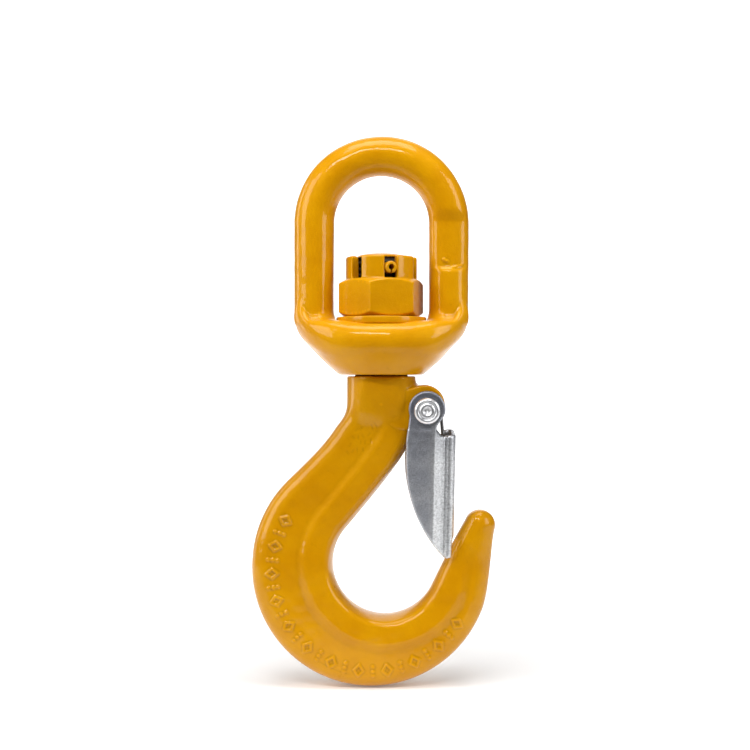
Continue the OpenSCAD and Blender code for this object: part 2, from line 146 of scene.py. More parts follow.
def smooth(t):
    c = np.clip(t, 0, 1)
    return c * c * (3 - 2 * c)


def heading(degrees):
    return np.array([math.cos(math.radians(degrees)), math.sin(math.radians(degrees))])


def bezier(p, q, r, s, t):
    return (1 - t) ** 3 * p + 3 * (1 - t) ** 2 * t * q + 3 * (1 - t) * t * t * r + t ** 3 * s


def soft_min(a, b, k):
    """The smaller of two distances, with a fillet of about k where they meet."""
    k = np.maximum(k, 0.001)
    h = np.maximum(k - np.abs(a - b), 0) / k
    return np.minimum(a, b) - h * h * k / 4


def soft_max(a, b, k):
    return -soft_min(-a, -b, k)


def waves(x, y, z, length, count, seed):
    """A slow unevenness between about -1 and 1, made of sine waves in fixed random directions."""
    rng = np.random.default_rng(seed)
    total = 0
    for _ in range(count):
        d = rng.normal(size=3)
        d *= 2 * math.pi / (length * rng.uniform(0.7, 1.6) * np.linalg.norm(d))
        total = total + np.sin(d[0] * x + d[1] * y + d[2] * z + rng.uniform(0, 6.28))
    return total / math.sqrt(count)


def along_path(x, z, path):
    """Distance to a polyline in the XZ plane, and how many points along it the nearest place is."""
    best = np.full(x.shape, 1e9)
    place = np.zeros(x.shape)
    for i in range(len(path) - 1):
        a, d = path[i], path[i + 1] - path[i]
        t = np.clip(((x - a[0]) * d[0] + (z - a[1]) * d[1]) / max(d @ d, 1e-9), 0, 1)
        dist = (x - a[0] - t * d[0]) ** 2 + (z - a[1] - t * d[1]) ** 2
        nearer = dist < best
        best = np.where(nearer, dist, best)
        place = np.where(nearer, i + t, place)
    return np.sqrt(best), place


def outline_distance(x, z, outline):
    """Signed distance to a closed outline in the XZ plane, negative inside."""
    closed = np.vstack([outline, outline[:1]])
    inside = np.zeros(x.shape, bool)
    for a, b in zip(closed[:-1], closed[1:]):
        if a[1] == b[1]:
            continue
        crosses = (a[1] > z) != (b[1] > z)
        inside ^= crosses & (x < a[0] + (z - a[1]) * (b[0] - a[0]) / (b[1] - a[1]))
    dist = along_path(x, z, closed)[0]
    return np.where(inside, -dist, dist)


class Map:
    """Values laid out once over the XZ plane and read back anywhere between the grid's points."""

    def __init__(self, low, high, cell, fill):
        self.low, self.cell = low, cell
        xs = np.arange(low[0], high[0] + cell, cell)
        zs = np.arange(low[1], high[1] + cell, cell)
        x, z = np.meshgrid(xs, zs, indexing="ij")
        self.values = np.stack(fill(x, z))

    def __call__(self, x, z):
        size = self.values.shape
        u = np.clip((x - self.low[0]) / self.cell, 0, size[1] - 1.001)
        v = np.clip((z - self.low[1]) / self.cell, 0, size[2] - 1.001)
        i, j = u.astype(int), v.astype(int)
        u, v = u - i, v - j
        g = self.values
        return (g[:, i, j] * (1 - u) * (1 - v) + g[:, i + 1, j] * u * (1 - v)
                + g[:, i, j + 1] * (1 - u) * v + g[:, i + 1, j + 1] * u * v)


# ---- Meshes from distance fields ----------------------------------------------------------------

def gradient(field, p, reach=0.03):
    parts = []
    for k in range(3):
        step = np.zeros(3)
        step[k] = reach
        parts.append((field(*(p + step).T) - field(*(p - step).T)) / (2 * reach))
    return np.stack(parts, 1)


def settle(field, p, rounds):
    """Moves points onto the field's zero surface."""
    for _ in range(rounds):
        g = gradient(field, p)
        move = (field(*p.T) / np.maximum((g * g).sum(1), 0.05))[:, None] * g
        p = p - np.clip(move, -0.5, 0.5)
    return p


def skin(field, low, high, cell):
    """Points and quads of the field's zero surface, one point in each grid cell that it crosses."""
    axes = [np.arange(low[k] - 2 * cell, high[k] + 2 * cell, cell) for k in range(3)]
    y, z = np.meshgrid(axes[1], axes[2], indexing="ij")
    value = np.stack([field(np.full(y.shape, x), y, z) for x in axes[0]]).astype(np.float32)
    inside = value < 0
    corner = [(i, j, k) for i in (0, 1) for j in (0, 1) for k in (0, 1)]
    size = np.array(value.shape) - 1

    def shifted(grid, c):
        return grid[c[0]:c[0] + size[0], c[1]:c[1] + size[1], c[2]:c[2] + size[2]]

    count = sum(shifted(inside, c).astype(np.int8) for c in corner)
    mixed = (count > 0) & (count < 8)
    cells = np.argwhere(mixed)
    number = np.full(mixed.shape, -1)
    number[mixed] = np.arange(len(cells))
    at = {c: value[tuple((cells + np.array(c)).T)] for c in corner}
    total, crossings = np.zeros((len(cells), 3)), np.zeros(len(cells))
    for a in corner:
        for k in range(3):
            if a[k]:
                continue
            b = tuple(a[m] + (m == k) for m in range(3))
            cut = (at[a] < 0) != (at[b] < 0)
            t = np.where(cut, at[a] / np.where(cut, at[a] - at[b], 1), 0)
            place = np.array(a) + t[:, None] * (np.array(b) - np.array(a))
            total += np.where(cut[:, None], place, 0)
            crossings += cut
    points = np.array([a[0] for a in axes]) + cell * (cells + total / crossings[:, None])
    quads = []
    for k in range(3):
        m, n = (k + 1) % 3, (k + 2) % 3
        near = [slice(None)] * 3
        near[k] = slice(0, -1)
        far = [slice(None)] * 3
        far[k] = slice(1, None)
        here, there = inside[tuple(near)], inside[tuple(far)]
        for edge, flip in ((here & ~there, False), (~here & there, True)):
            e = np.argwhere(edge)
            ring = []
            for dm, dn in ((0, 0), (1, 0), (1, 1), (0, 1)):
                c = e.copy()
                c[:, m] -= 1 - dm
                c[:, n] -= 1 - dn
                ring.append(number[tuple(c.T)])
            quads.append(np.stack(ring[::-1] if flip else ring, 1))
    return points, np.vstack(quads)


def even_out(field, points, quads, rounds):
    """Slides the points along the surface so that the quads get even."""
    for _ in range(rounds):
        total, links = np.zeros_like(points), np.zeros(len(points))
        for k in range(4):
            a, b = quads[:, k], quads[:, (k + 1) % 4]
            np.add.at(total, a, points[b])
            np.add.at(links, a, 1)
        points = settle(field, mix(points, total / links[:, None], 0.6), 1)
    return points


def mesh_object(name, points, faces):
    mesh = bpy.data.meshes.new(name)
    mesh.from_pydata((np.asarray(points) * MM).tolist(), [], [list(f) for f in faces])
    mesh.polygons.foreach_set("use_smooth", [True] * len(mesh.polygons))
    mesh.update()
    obj = bpy.data.objects.new(name, mesh)
    bpy.context.scene.collection.objects.link(obj)
    return obj


def formed(name, field, low, high, cell):
    """A piece whose surface is where field(x, y, z) is zero."""
    cell = cell
    points, quads = skin(field, low, high, cell)
    points = even_out(field, settle(field, points, 2), quads, 2)
    return mesh_object(name, settle(field, points, 1), quads)


# ---- Bail ----------------------------------------------------------------------------------------

LEG_END_Z = BOSS_TOP + 2.2              # a leg's bar ends here, inside the boss
RIM_Z = BOSS_TOP - BAR_R
CORNER_R = 14.5                         # where a leg's outer side turns into the cone
FOOT_ROUND = 0.7                        # rounding at the cone's foot
CONE_BELLY = 0.5                        # how far the cone swells past a straight line
SKIRT_H = 8                             # how far the boss runs on up a leg's outer side
TOP_ROUND = 3.5
LEG_FILLET = 5.5
WORN_LOW, WORN_HIGH = -41, -13          # the worn flat on the front of the right leg
WORN_DEPTH = 3.0
NICK_DEPTH = 0.5
FLASH_H = 0.12                          # trimmed flash line in the bail's middle plane


def boss_field(x, y, z):
    """The cup under the bail: the bar runs on round it as an oval rim over a cone."""
    r = np.hypot(x, y) + 1e-6
    c2 = (x / r) ** 2
    tube = mix(BAR_R, CORNER_R, c2 ** 2)
    rim_r = 1 / np.sqrt(c2 / LEG_X ** 2 + (1 - c2) / RIM_Y ** 2) + BAR_R - tube
    rim_z = mix(RIM_Z, LEG_END_Z, c2 ** 4)
    vr, vz = BOSS_BASE_R - FOOT_ROUND - rim_r, BOSS_BOTTOM + FOOT_ROUND - rim_z
    length = np.hypot(vr, vz)
    lean = (tube - FOOT_ROUND) / length
    level = np.sqrt(1 - lean ** 2)
    nr = (lean * vr - level * vz) / length
    nz = (lean * vz + level * vr) / length
    pr, pz = r - rim_r, z - rim_z
    below = pr * nz - pz * nr > 0
    over = np.where(pr > 0, np.hypot(pr, pz), pz)
    run = (pr * vr + pz * vz) / length - lean * tube
    along = np.clip(run / (length * level), 0, 1)
    belly = CONE_BELLY * np.sin(math.pi * along) ** 2
    side = np.where(below, pr * nr + pz * nz - belly, over) - tube
    side = soft_max(side, BOSS_BOTTOM - z, FOOT_ROUND)
    skirt = SKIRT_H * c2 ** 12 * smooth((r - LEG_X - 2) / 4)
    return soft_max(side, z - BOSS_TOP - skirt, TOP_ROUND)


def stamp(x, z, centre, turn, half_length, half_width):
    """Share of a short raised or stamped bar: 1 on it, 0 away from it."""
    d = heading(turn)
    u = (x - centre[0]) * d[0] + (z - centre[1]) * d[1]
    v = (z - centre[1]) * d[0] - (x - centre[0]) * d[1]
    gap = np.hypot(np.maximum(np.abs(u) - half_length, 0), v) - half_width
    return smooth(0.5 - gap / 0.7)


def bail_field(x, y, z):
    arch = np.hypot(x, np.maximum(z - ARCH_Z, 0)) - LEG_X
    below = np.minimum(z - LEG_END_Z, 0)
    bar = np.sqrt(arch ** 2 + y ** 2 + below ** 2) - BAR_R
    worn = smooth((z - WORN_LOW) / 3) * smooth((WORN_HIGH - z) / 7) * (x > 0)
    bar = soft_max(bar, -y - (BAR_R + 1.5 - WORN_DEPTH * worn) + 0.10 * (x - LEG_X), 3.6)
    nicks = stamp(x, z, (26.6, -36), -25, 0.9, 0.5) + stamp(x, z, (31.4, -38.4), 12, 1.9, 0.45)
    bar = bar - NICK_DEPTH * nicks * (y < 0) * (x > 0)
    bar = bar - FLASH_H * np.exp(-(y / 0.8) ** 2)
    inner = smooth((LEG_X + 1 - np.abs(x)) / 4)
    beside = 0.8 * smooth((np.abs(y) - 1.5) / 4)
    foot = np.maximum(inner, beside) * smooth((z - BOSS_TOP + 4) / 3)
    body = soft_min(bar, boss_field(x, y, z), LEG_FILLET * foot)
    body = body + 0.10 * waves(x, y, z, 26, 6, 3) + 0.02 * waves(x, y, z, 6, 6, 9)
    r = np.hypot(x, y)
    body = soft_max(body, np.minimum(BORE_R - r, BOSS_TOP + 10 - z), 0.8)
    seat = np.maximum(np.maximum(r - SEAT_R, SEAT_Z - z), z - SEAT_Z - 7)
    return soft_max(body, -seat, 0.6)


# ---- Hook ----------------------------------------------------------------------------------------

def sweep_hit(angle):
    d, w = heading(angle), BOWL_C - SWEEP_C
    along = w @ d
    return BOWL_C + d * (math.sqrt(along ** 2 - w @ w + SWEEP_R ** 2) - along)


def hook_stations():
    """Rows down the hook: inner point, outer point, half thickness, share of the forged step."""
    rows = []
    shoulder_pull, back_pull = 12, 14   # bezier handles, down the back and round the tip
    mouth_pull, nose_in_pull = 6, 11.3
    belly_pull, nose_out_pull = 8.6, 9.5
    tip_root_half = TIP_HALF * 1.25
    in_end, out_end = BOWL_C + BOWL_R * heading(BOWL_FROM), sweep_hit(BOWL_FROM)
    in_corner = in_end + heading(BOWL_FROM - 90) * (NECK_R - in_end[0]) / math.cos(
        math.radians(BOWL_FROM - 90))
    out_dir = (out_end - SWEEP_C)[::-1] * (1, -1) / SWEEP_R
    in_top, out_top = np.array([NECK_R, NECK_Z + 1]), np.array([-NECK_R, NECK_Z + 1])
    out_shoulder = np.array([-NECK_R, NECK_Z - shoulder_pull])
    for t in np.arange(26) / 26:
        rows.append((bezier(in_top, in_corner + (0.4, 2), in_corner, in_end, t),
                     bezier(out_top, out_shoulder, out_end + back_pull * out_dir, out_end, t),
                     NECK_HALF, smooth(t * 4 - 0.6)))
    for t in np.arange(60) / 60:
        a = mix(BOWL_FROM, BOWL_TO, t)
        thick = mix(NECK_HALF, BAND_HALF, smooth(t / 0.3))
        rows.append((BOWL_C + BOWL_R * heading(a), sweep_hit(a),
                     mix(thick, tip_root_half, smooth((t - 0.62) / 0.38)), 1.0))
    in_start, out_start = BOWL_C + BOWL_R * heading(BOWL_TO), sweep_hit(BOWL_TO)
    out_dir = (out_start - SWEEP_C)[::-1] * (-1, 1) / SWEEP_R
    in_tip, out_tip = TIP_C + TIP_R * heading(TIP_LEAN + 90), TIP_C + TIP_R * heading(TIP_LEAN - 90)
    for t in np.arange(20) / 20:
        rows.append((bezier(in_start, in_start + mouth_pull * heading(BOWL_TO + 90),
                            in_tip - nose_in_pull * heading(TIP_LEAN - TIP_TAPER), in_tip, t),
                     bezier(out_start, out_start + belly_pull * out_dir,
                            out_tip - nose_out_pull * heading(TIP_LEAN + TIP_TAPER), out_tip, t),
                     mix(tip_root_half, TIP_HALF, smooth(t * 1.6)), 1 - smooth(t * 1.1)))
    for t in np.linspace(0, 1, 12):
        a = math.pi / 2 * t
        lift = math.sin(a) * heading(TIP_LEAN)
        rows.append((TIP_C + TIP_R * (math.cos(a) * heading(TIP_LEAN + 90) + lift),
                     TIP_C + TIP_R * (math.cos(a) * heading(TIP_LEAN - 90) + lift),
                     TIP_HALF, 0.0))
    return rows


# Raised marks of the forging die, evenly round the outer band: angle about the sweep, kind
MARKS = [(151 + 8 * i, "dots" if i % 2 else "lozenge") for i in range(23)]
MARK_STROKE = 0.42
MARK_H = 0.5
MARK_LINE_R = 41.5                      # the marks' line, a little off the sweep's centre
MARK_LINE_SHIFT = 1.2
PUNCH_DEPTH = 0.25


def mark_shape(kind, u, v):
    """Distance to one mark; u runs round the hook and v outwards from the marks' line."""
    if kind == "lozenge":
        return np.abs(np.abs(u) * 0.78 + np.abs(v) * 0.62 - 1.5)
    return np.minimum(np.hypot(u, np.abs(v) - 1.9), np.hypot(u, v)) - 0.3


def mark_height(x, z):
    """Height share of the raised marks over the XZ plane."""
    nearest = np.full(x.shape, 9.0)
    for angle, kind in MARKS:
        line_r = MARK_LINE_R + MARK_LINE_SHIFT * math.cos(math.radians(angle - 300))
        centre, out = SWEEP_C + line_r * heading(angle), heading(angle)
        v = (x - centre[0]) * out[0] + (z - centre[1]) * out[1]
        u = (z - centre[1]) * out[0] - (x - centre[0]) * out[1]
        nearest = np.minimum(nearest, mark_shape(kind, u, v))
    return smooth(0.5 - (nearest - MARK_STROKE) / 0.5)


def punch_depth(x, z):
    """Depth share of the short random dents below the neck and of one lap in the forging."""
    depth = np.zeros(x.shape)
    rng = np.random.default_rng(11)
    first = np.array([-10.5, -106.5])
    next_column, next_row = np.array([2.1, 0.5]), np.array([-1.2, -3.1])
    for row in range(4):
        for column in range(5):
            centre = first + column * next_column + row * next_row
            if rng.random() < 0.8:
                depth = np.maximum(depth, stamp(x, z, centre + rng.normal(size=2) * 0.25,
                                                rng.uniform(40, 140), 0.8, 0.2))
    lap = np.abs(np.hypot(x - SWEEP_C[0] - 4, z - SWEEP_C[1] - 4) - SWEEP_R + 0.4)
    turn = np.degrees(np.arctan2(z - SWEEP_C[1], x - SWEEP_C[0])) % 360
    reach = smooth((turn - 236) / 6) * smooth((262 - turn) / 6)
    return np.maximum(depth, 0.8 * reach * np.exp(-(lap / 0.45) ** 2))


def hook_map():
    rows = hook_stations()
    inner, outer = np.array([r[0] for r in rows]), np.array([r[1] for r in rows])
    outline = np.vstack([inner, outer[::-1]])
    index = np.arange(len(rows))
    half, share = np.array([r[2] for r in rows]), np.array([r[3] for r in rows])

    def fill(x, z):
        edge = outline_distance(x, z, outline)
        from_inner, from_outer = along_path(x, z, inner)[0], along_path(x, z, outer)[0]
        place = along_path(x, z, (inner + outer) / 2)[1]
        return (edge, from_inner, from_outer, np.interp(place, index, half),
                np.interp(place, index, share), mark_height(x, z), punch_depth(x, z))

    cell = 0.3
    return Map((hook_low[0] - 3, hook_low[2] - 3), (hook_high[0] + 3, NECK_Z + 4), cell, fill)


hook_plan = hook_map()
CREST_H = 0.16                          # a faint crest along the step's top edge
DISH_DEPTH = 0.45                       # the inner band is a little hollow
STEP_RUN = 5.0                          # width of the slope between the two bands


def forged_field(x, y, z):
    """The forged part: a thick inner band, a step down to the outer band, rounded edges."""
    edge, from_inner, from_outer, half, share, mark, punch = hook_plan(x, z)
    side = smooth(from_inner / (from_inner + from_outer + 1e-6) * 1.6 - 0.3)
    wide = from_inner + from_outer
    ridge = np.minimum(BAND_W, np.maximum(wide - 10, 6))
    low = half - STEP * share
    face = mix(low, half, smooth((ridge - from_inner) / STEP_RUN + 0.45))
    crest = np.exp(-((from_inner - ridge + 1.3) / 1.5) ** 2)
    dish = smooth((ridge - 2 - from_inner) / 9)
    face = face + CREST_H * crest * share - DISH_DEPTH * share * dish
    front = np.where(y < 0, 1.0, 0.0)
    clear = smooth((from_outer - 3.5) / 1.5)
    face = face + MARK_H * mark * clear * (share > 0.3) - PUNCH_DEPTH * punch * front
    face = face + 0.09 * waves(x, y * 0.2, z, 17, 6, 5) + 0.03 * waves(x, y, z, 5, 6, 8)
    round_r = mix(mix(4.5, 1.9, share), 4.8, side)
    crown = mix(mix(1.5, 2.7, share), 2.6, side)
    a = edge + crown * np.minimum((y / half) ** 2, 1.3) + round_r
    b = np.abs(y) - face + round_r
    body = np.minimum(np.maximum(a, b), 0) + np.hypot(np.maximum(a, 0), np.maximum(b, 0)) - round_r
    return np.where(z > NECK_Z + 1, np.maximum(body, z - NECK_Z - 1), body)


def shank_field(x, y, z):
    r = np.hypot(x, y)
    top = hook_high[2]
    pitch, depth, thread_from, dome = 2.5, 1.1, -62, 1.4
    turn = z / pitch - np.arctan2(y, x) / (2 * math.pi)
    thread = depth * np.abs((turn % 1) * 2 - 1) * smooth((z - thread_from) / 2)
    shank = soft_max(r - SHANK_R + thread, z - top + dome * (r / SHANK_R) ** 2, 0.8)
    return np.maximum(shank, NECK_Z - z)


def neck_field(x, y, z):
    return soft_max(np.hypot(x, y) - NECK_R, z - COLLAR_Z, 0.7)


def flat_limit(x, z):
    """Highest |y| beside the lug: flat where the latch's plates swing, then a slope out of it."""
    u, w = x - pivot[0], z - pivot[2]
    r = np.hypot(u, w)
    outside = np.minimum(r - EAR_R - 1.5, soft_max(r - 15.5, 0.93 * w - 0.35 * u - 2.5, 3))
    return LUG_HALF + 0.22 * np.maximum(outside, 0)


def lug_field(x, y, z):
    disc = np.hypot(x - LUG_C[0], z - LUG_C[1]) - LUG_R
    root = np.hypot(x - 9, z - LUG_C[1] + 2) - 8.6
    plan = soft_min(disc, root, 4)
    edge = 1.3
    a, b = plan + edge, np.abs(y) - LUG_HALF + edge
    return np.minimum(np.maximum(a, b), 0) + np.hypot(np.maximum(a, 0), np.maximum(b, 0)) - edge


def slot_field(x, y, z):
    u, w = x - pivot[0], z - pivot[2]
    slot_drop = 16
    round_part = np.hypot(u, w) - COIL_R - 2 * WIRE_R
    open_part = np.maximum(np.maximum(-u - COIL_R - 2 * WIRE_R, w), -slot_drop - w)
    return np.maximum(np.minimum(round_part, open_part), np.abs(y) - LUG_SLOT_HALF)


NECK_RUN = 13                           # length over which the round neck turns into the band


def hook_field(x, y, z):
    forged = smooth((NECK_Z - z) / NECK_RUN)
    body = mix(neck_field(x, y, z), forged_field(x, y, z), forged)
    body = soft_min(body, lug_field(x, y, z), 3 * smooth((LUG_HALF - 0.5 - np.abs(y)) / 3))
    body = soft_max(body, np.abs(y) - flat_limit(x, z), 2.4)
    body = soft_max(body, -slot_field(x, y, z), 0.8)
    return np.minimum(body, shank_field(x, y, z))


# ---- Nut, roll pin, latch ------------------------------------------------------------------------

ROLL_TURN = -74.6
ROLL_Z = (roll_low[2] + roll_high[2]) / 2
NUT_HALF_AF = 16
HEX_H = 15.6
HEX_TOP = nut_low[2] + HEX_H
CROWN_R = 14.9
SLOT_HALF = 2.6
CHAMFER_R = 15.3                        # where the hexagon's chamfer starts
CHAMFER_SLOPE = 0.58


def nut_field(x, y, z):
    d = heading(ROLL_TURN)
    u, v = x * d[0] + y * d[1], y * d[0] - x * d[1]
    r = np.hypot(u, v)
    flats = []
    slots = []
    for turn in (0, 60, 120):
        c, s = heading(turn)
        across, side = u * c + v * s, v * c - u * s
        flats.append(np.abs(across) - NUT_HALF_AF)
        slots.append(np.abs(side) - SLOT_HALF)
    hexagon = np.maximum.reduce(flats)
    level = np.abs(z - (nut_low[2] + HEX_TOP) / 2)
    chamfer = level - HEX_H / 2 + CHAMFER_SLOPE * (r - CHAMFER_R)
    hexagon = soft_max(hexagon, chamfer / 1.16, 0.35)
    hexagon = soft_max(hexagon, level - HEX_H / 2, 0.5)
    crown = soft_max(r - CROWN_R, z - nut_high[2], 1.0)
    crown = soft_max(crown, HEX_TOP - 3 - z, 0.5)
    cut = soft_min(soft_min(slots[0], slots[1], 0.3), slots[2], 0.3)
    crown = soft_max(crown, -np.maximum(cut, HEX_TOP - z), 0.7)
    nut = soft_min(hexagon, crown, 0.8)
    bore = SHANK_R - r + smooth((z - nut_high[2] + 1.4) / 1.4) * 0.9
    return soft_max(nut, bore, 0.5)


def roll_field(x, y, z):
    d = heading(ROLL_TURN)
    u, v, w = x * d[0] + y * d[1], y * d[0] - x * d[1], z - ROLL_Z
    r = np.hypot(v, w)
    half_l, mid_r, half_wall, end_chamfer, slit_half = 15.7, 1.83, 0.67, 1.9, 0.4
    tube = soft_max(np.abs(r - mid_r) - half_wall, np.abs(u) - half_l, 0.35)
    tube = soft_max(tube, r + np.abs(u) - half_l - end_chamfer, 0.3)
    slit = np.maximum(np.abs(v) - slit_half, w)
    return soft_max(tube, -slit, 0.3)


def latch_section():
    """One half of the latch's pressed section, in the middle of its sheet, from the pivot: x, y."""
    web = 12.3 - SHEET / 2
    side, corner_r = 8.75, 2.1
    corner = np.array([web - corner_r, side - corner_r])
    arc = [corner + corner_r * heading(a) for a in range(90, -1, -15)]
    bend = [(2.4, FLANGE_MID), (3.2, FLANGE_MID - 0.12), (6.3, 9.1), (7.1, 8.4), (7.9, 8.0),
            (8.7, 8.1), (9.2, 8.6)]
    return np.array([(-12.0, FLANGE_MID)] + bend + [tuple(p) for p in arc] + [(web, 0.0)])


def latch_blade_outline():
    """Side outline of the flanges and channel, from the pivot: x, z."""
    belly, belly_r, nose_z = np.array([48.6, -20.5]), 57, -60.9
    curve = [belly + belly_r * heading(a) for a in np.arange(180, 226, 3)]
    curve = [p for p in curve if p[1] > nose_z]
    top = [(4.4, -EAR_R), (6.4, -10.2), (8.0, -9.2), (13.5, -8.8)]
    return np.array(top[::-1] + [(-7.9, -EAR_R), (-8.4, -12.6)] + curve
                    + [(9.0, -61.1), (11.5, -60.8), (11.9, -54), (13.5, -52)])


def latch_ear_outline():
    """Outline of the two flat ears round the rivet, from the pivot: x, z."""
    ring = [EAR_R * heading(a) + (0, EAR_RISE) for a in range(-20, 201, 10)]
    return np.array(ring + [(-8.4, -13.6), (2.2, -11.6), (4.2, -9.6), (4.2, -EAR_R + 1.2)])


LATCH_CELL = 0.25
latch_plan = Map((-14, -66), (18, 12), LATCH_CELL, lambda x, z: (
    outline_distance(x, z, latch_blade_outline()), outline_distance(x, z, latch_ear_outline())))
latch_cut = Map((-16, -1), (18, 16), LATCH_CELL, lambda x, y: (
    along_path(x, y, latch_section())[0],))


def latch_field(x, y, z):
    c, s = math.cos(LATCH_LEAN), math.sin(LATCH_LEAN)
    dx, dz = x - pivot[0], z - pivot[2]
    u, w = dx * c - dz * s, dz * c + dx * s
    slope = np.where((w < -8) & (w > -40) & (u > 7), 0.11 * (y + 1), 0)
    blade_edge, ear_edge = latch_plan(u, w - slope)
    sheet = latch_cut(u, np.abs(y))[0] - SHEET / 2
    flat = np.abs(np.abs(y) - FLANGE_MID) - SHEET / 2
    mouth = np.maximum(np.maximum(6.9 - u, np.abs(y) - 7.6), w + 52.4)
    blade = soft_max(soft_max(sheet, blade_edge, 1.2), -mouth, 0.6)
    ear = soft_max(flat, ear_edge, 1.2)
    body = soft_min(blade, ear, 0.4)
    rivet_hole_r = 3.26
    return soft_max(body, rivet_hole_r - np.hypot(u, w), 0.3)


# ---- Turned and coiled pieces --------------------------------------------------------------------

def turned(name, profile, sides=96):
    """A ring or solid turned from a closed profile of (radius, height) points, about +Z."""
    points, faces = [], []
    count = len(profile)
    for s in range(sides):
        a = 2 * math.pi * s / sides
        points += [(r * math.cos(a), r * math.sin(a), h) for r, h in profile]
        for k in range(count):
            n, m = s * count, (s + 1) % sides * count
            faces.append((n + k, m + k, m + (k + 1) % count, n + (k + 1) % count))
    return mesh_object(name, points, faces)


def rounded(points, radius, steps=4):
    """A closed outline with every corner rounded."""
    out = []
    points = [np.array(p, float) for p in points]
    for i, p in enumerate(points):
        a, b = points[i - 1] - p, points[(i + 1) % len(points)] - p
        r = min(radius, np.linalg.norm(a) * 0.45, np.linalg.norm(b) * 0.45)
        start, end = p + a / np.linalg.norm(a) * r, p + b / np.linalg.norm(b) * r
        for t in np.linspace(0, 1, steps + 1):
            out.append((1 - t) ** 2 * start + 2 * (1 - t) * t * p + t * t * end)
    return [tuple(p) for p in out]


def washer_piece():
    out_r, in_r = washer_high[0], BORE_R + 0.3
    low, high = washer_low[2], washer_high[2]
    profile = rounded([(in_r, low), (out_r, low), (out_r, high), (in_r, high)], 0.5)
    return turned("washer_ring", profile)


def rivet_piece():
    """The rivet: a pin between two heads, each with a turned ring and a dimple."""
    reach, end = FLANGE_MID + SHEET / 2 + 0.2, rivet_high[1]
    core, pin_r = 0.02, 3.2
    head = [(HEAD_R, reach), (HEAD_R, end - 1.1), (HEAD_R - 0.35, end - 0.6),
            (HEAD_R - 0.95, end - 0.2), (HEAD_R - 1.6, end - 0.3), (HEAD_R - 1.75, end - 0.65),
            (HEAD_R - 2.2, end - 0.7), (HEAD_R - 2.6, end - 0.35), (2.1, end - 0.25),
            (1.6, end - 0.45), (1.2, end - 1.0), (core, end - 1.2)]
    half = [(pin_r, reach)] + head
    profile = [(r, -h) for r, h in reversed(half)] + half
    obj = turned("rivet_turned", rounded(profile, 0.35, 3), 128)
    for v in obj.data.vertices:
        x, y, z = v.co / MM
        v.co = Vector((pivot[0] + x, z, pivot[2] - y)) * MM
    return obj


def spring_piece():
    """Torsion spring: a leg down the hook, 4.5 turns round the rivet, a leg down the latch."""
    turns, pitch = 5, 2 * WIRE_R + 0.1
    half_l = turns * pitch / 2
    lean = math.radians(5)
    hook_leg, latch_leg = 11, 31
    sweep = 2 * math.pi * turns - math.pi + lean
    path = [(-COIL_R, -half_l, -h) for h in np.linspace(hook_leg, 0.5, 12)]
    for a in np.linspace(0, sweep, 48 * turns):
        path.append((-COIL_R * math.cos(a), -half_l + pitch * a / (2 * math.pi),
                     COIL_R * math.sin(a)))
    start = np.array(path[-1])
    down = np.array([math.sin(lean), 0, -math.cos(lean)])
    path += [tuple(start + down * h) for h in np.linspace(0.5, latch_leg, 30)]
    path = np.array(path)
    sides = 16
    points, faces = [], []
    for i, p in enumerate(path):
        d = path[min(i + 1, len(path) - 1)] - path[max(i - 1, 0)]
        across = np.cross(d, (0, 1, 0))
        across /= np.linalg.norm(across)
        up = np.cross(across, d / np.linalg.norm(d))
        inset = 0.72 if i in (0, len(path) - 1) else 1
        for k in range(sides):
            a = 2 * math.pi * k / sides
            ring = (across * math.cos(a) + up * math.sin(a)) * WIRE_R * inset
            points.append(pivot + p + ring)
        if i:
            n = (i - 1) * sides
            faces += [(n + k, n + sides + k, n + sides + (k + 1) % sides, n + (k + 1) % sides)
                      for k in range(sides)]
    faces.append(tuple(range(sides)))
    last = (len(path) - 1) * sides
    faces.append(tuple(last + k for k in reversed(range(sides))))
    return mesh_object("spring_wire", points, faces), half_l


# ---- Materials -----------------------------------------------------------------------------------

